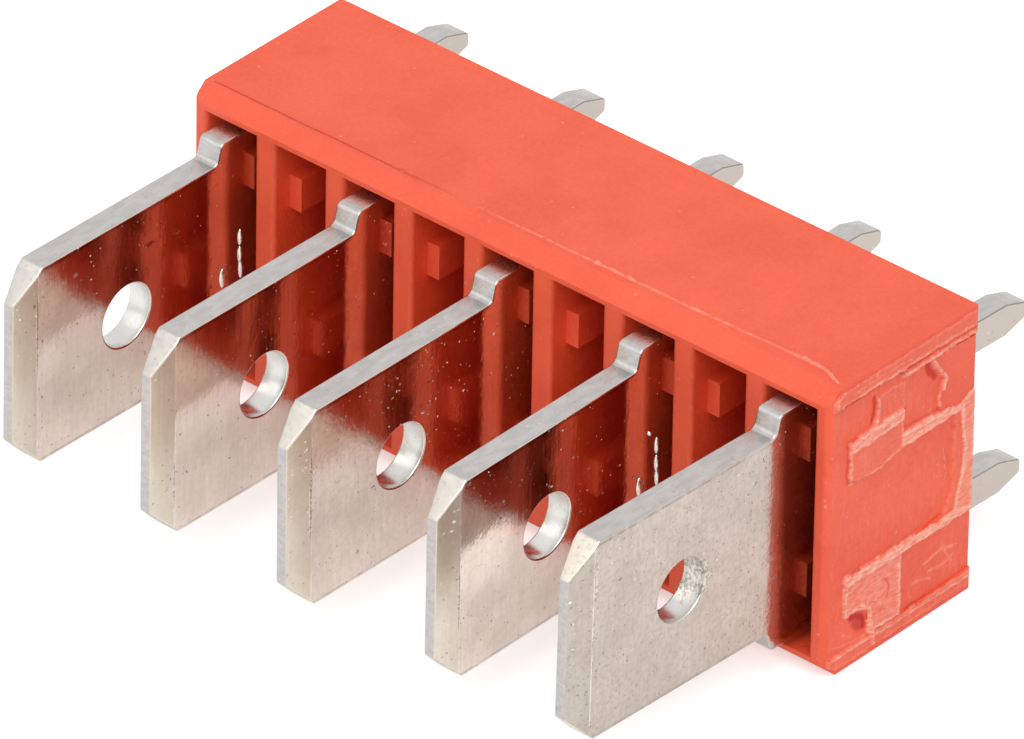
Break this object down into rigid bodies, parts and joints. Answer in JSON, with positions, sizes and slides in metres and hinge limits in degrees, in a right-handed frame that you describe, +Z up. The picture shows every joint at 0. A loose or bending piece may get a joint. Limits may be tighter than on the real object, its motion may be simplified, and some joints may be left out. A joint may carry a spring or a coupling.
{
  "type": "pcb tab terminal",
  "caption": "Row of flat push-on blades held in an open-fronted moulded housing, with two solder pins behind each blade for a circuit board.",
  "frame": {"origin": "centre of the housing's board face, where the part seats on the circuit board", "axes": "+X along the row of blades towards the torn end, +Y out of the board face along the solder pins, +Z up as the part is seen in the picture"},
  "size_m": [0.0228, 0.0183, 0.0092],
  "materials": {
    "housing_plastic": "matte moulded orange-red plastic with a fine grain",
    "tinned_brass": "bright tin plating over brass sheet, lightly scuffed"
  },
  "bodies": {
    "root": {"housing": "housing_plastic", "tab_1": "tinned_brass", "tab_2": "tinned_brass", "tab_3": "tinned_brass", "tab_4": "tinned_brass", "tab_5": "tinned_brass"}
  },
  "joints": []
}
